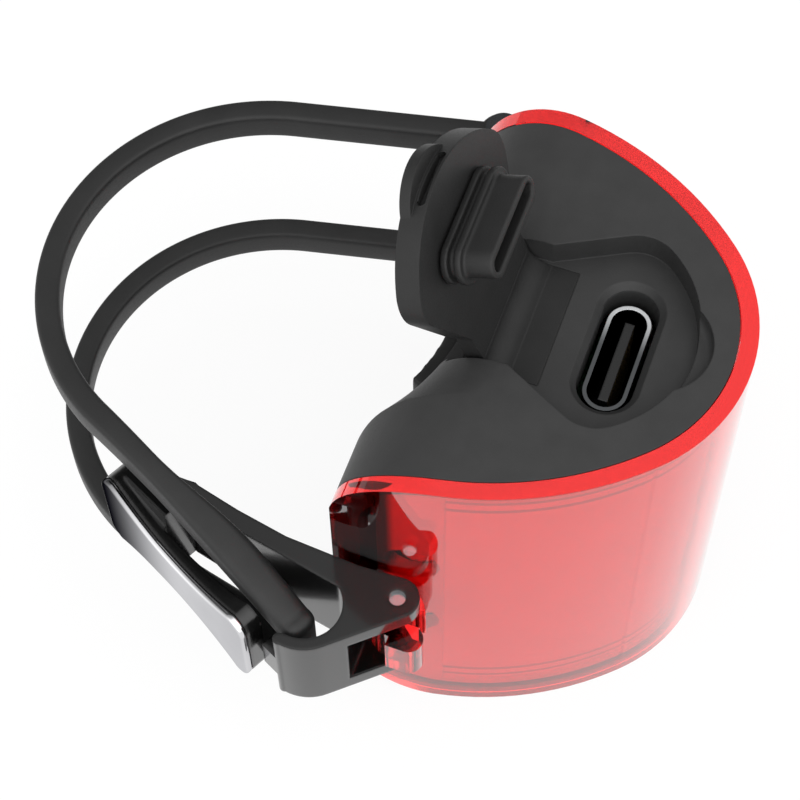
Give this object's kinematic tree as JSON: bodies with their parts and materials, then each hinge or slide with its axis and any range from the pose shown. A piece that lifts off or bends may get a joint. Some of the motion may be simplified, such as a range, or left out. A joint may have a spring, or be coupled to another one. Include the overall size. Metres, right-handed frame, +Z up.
{
  "type": "bike rear light",
  "caption": "Compact bike rear light with a wrap-round red lens, rubber strap with swing clasp for the seat post, and a charging port under a rubber flap.",
  "frame": {"origin": "on the axis of the seat post, at half the height of the light", "axes": "+Z up along the post, +Y to the nose of the lens, +X to the clasp"},
  "size_m": [0.0459, 0.0536, 0.047],
  "materials": {
    "housing_black": "fine matte moulded black",
    "lens_red": "clear red moulded plastic",
    "pad_rubber": "soft black rubber",
    "diffuser_white": "milky white plastic",
    "frame_pale": "satin pale plastic",
    "board_white": "white solder mask",
    "board_green": "green solder mask",
    "led_yellow": "phosphor face",
    "led_red": "red cast dome",
    "pin_steel": "bright steel",
    "port_steel": "bright plated sheet",
    "port_black": "black moulding",
    "battery_wrap": "shrink film",
    "foam_grey": "closed-cell foam",
    "cover_rubber": "matte black rubber",
    "strap_rubber": "smooth black rubber",
    "clasp_black": "glossy black moulding",
    "badge_chrome": "polished, left bare"
  },
  "bodies": {
    "body": {"housing": "housing_black", "lens": "lens_red", "saddle_pad": "pad_rubber", "diffuser": "diffuser_white", "diffuser_frame": "frame_pale", "led_board": "board_white", "main_led_1": "led_yellow", "main_led_2": "led_yellow", "main_led_3": "led_yellow", "side_board_1": "board_green", "side_board_2": "board_green", "side_led_1": "led_red", "side_led_2": "led_red", "side_led_3": "led_red", "side_led_4": "led_red", "main_board": "board_green", "board_screw_1": "pin_steel", "board_screw_2": "pin_steel", "usb_shell": "port_steel", "usb_tongue": "port_black", "battery": "battery_wrap", "battery_foam": "foam_grey", "switch_board": "board_green", "tact_switch": "port_black", "port_cover_base": "cover_rubber", "strap_loop": "strap_rubber", "anchor_pin": "pin_steel"},
    "flap": {"port_cover": "cover_rubber", "port_plug": "cover_rubber"},
    "clasp": {"clasp_frame": "clasp_black", "clasp_pin": "pin_steel", "badge_plate": "badge_chrome", "strap_tail": "strap_rubber"},
    "button": {"power_button": "cover_rubber"}
  },
  "joints": [
    {"name": "flap_hinge", "type": "hinge", "parent": "body", "child": "flap", "pos_m": [0, 0.0184, 0.01595], "axis": [-1, 0, 0], "range_deg": [0, 112], "deforming": ["port_plug"]},
    {"name": "clasp_swing", "type": "hinge", "parent": "body", "child": "clasp", "pos_m": [0.01875, 0.0175, 0], "axis": [0, 0, 1], "range_deg": [0, 45], "stiffness_Nm_per_rad": 0.05},
    {"name": "button_press", "type": "slide", "parent": "body", "child": "button", "axis": [0, 0, 1], "range_m": [0, 0.0004], "stiffness_N_per_m": 3000}
  ]
}
